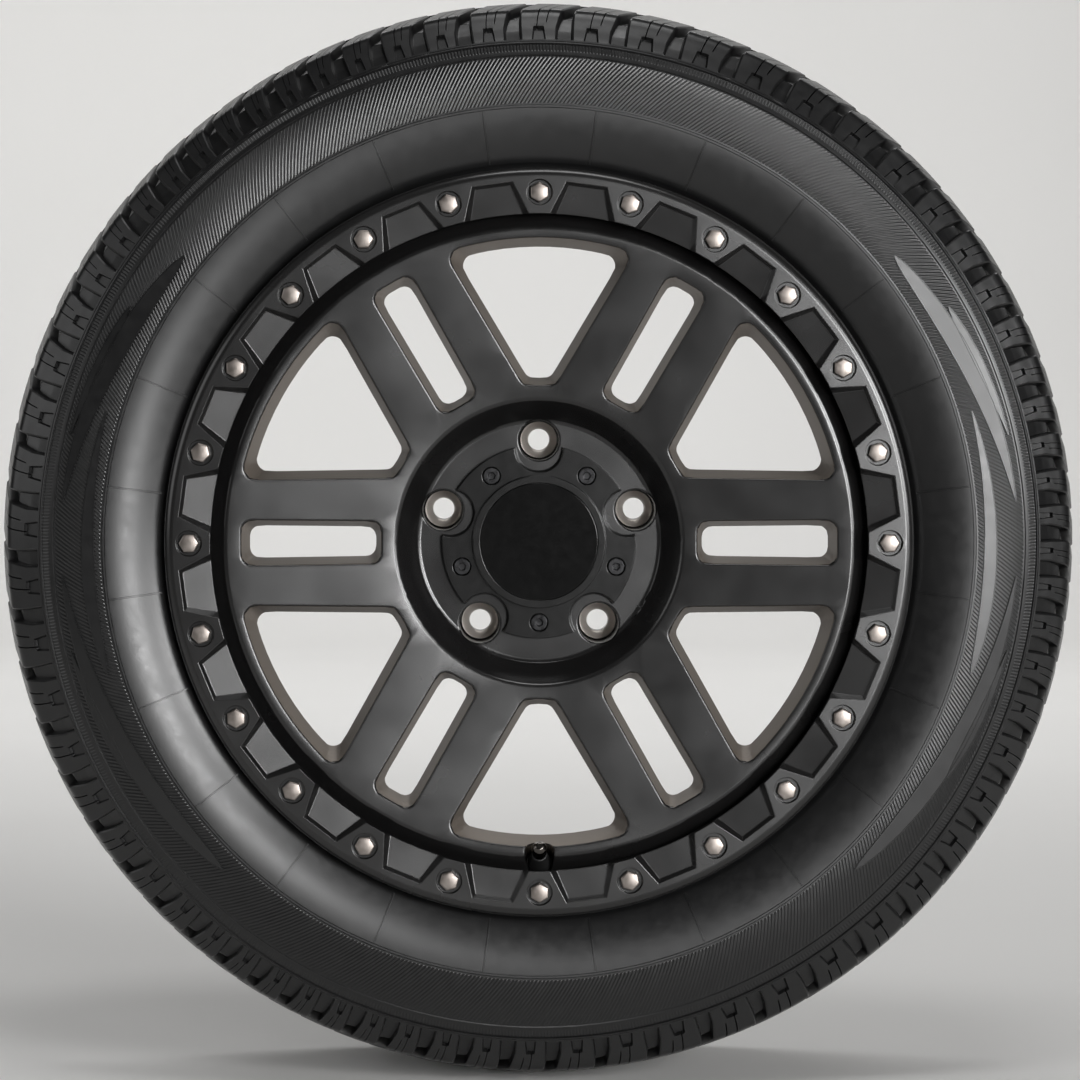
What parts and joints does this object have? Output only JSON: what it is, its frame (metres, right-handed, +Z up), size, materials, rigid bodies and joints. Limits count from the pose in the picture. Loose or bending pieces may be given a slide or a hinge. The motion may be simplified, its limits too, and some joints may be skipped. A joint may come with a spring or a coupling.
{
  "type": "car wheel with tyre",
  "caption": "Car road wheel with its tyre fitted: cast alloy wheel with slotted spokes and windows, bolted trim ring on the outer flange, screwed centre cap and a snap-in valve.",
  "frame": {"origin": "middle of the hub's mounting face, on the wheel axis", "axes": "+Y along the wheel axis towards the vehicle, -Y out of the visible face, +Z up with the valve at the bottom"},
  "size_m": [0.8019, 0.2519, 0.802],
  "materials": {
    "tyre_rubber": "satin",
    "graphite_paint": "satin graphite paint",
    "ring_paint": "satin graphite paint",
    "bolt_steel": "nickel plated",
    "cap_black": "gloss",
    "screw_black": "black zinc",
    "valve_rubber": "matte",
    "valve_brass": "turned",
    "valve_cap_metal": "dark chrome"
  },
  "bodies": {
    "road_wheel": {"tyre": "tyre_rubber", "wheel": "graphite_paint", "bead_ring": "ring_paint", "ring_bolts": "bolt_steel", "cap_flange": "cap_black", "cap_disc": "cap_black", "cap_screws": "screw_black", "valve_rubber": "valve_rubber", "valve_stem": "valve_brass", "valve_core": "valve_brass"},
    "valve_cap": {"valve_cap": "valve_cap_metal", "valve_cap_seal": "valve_rubber"},
    "valve_pin": {"valve_pin": "valve_brass"}
  },
  "joints": [
    {"name": "valve_cap_off", "type": "slide", "parent": "road_wheel", "child": "valve_cap", "axis": [0, -0.866, 0.5], "range_m": [0, 0.015]},
    {"name": "valve_pin_press", "type": "slide", "parent": "road_wheel", "child": "valve_pin", "axis": [0, 0.866, -0.5], "range_m": [0, 0.0015], "stiffness_N_per_m": 800, "springref_m": -0.002}
  ]
}
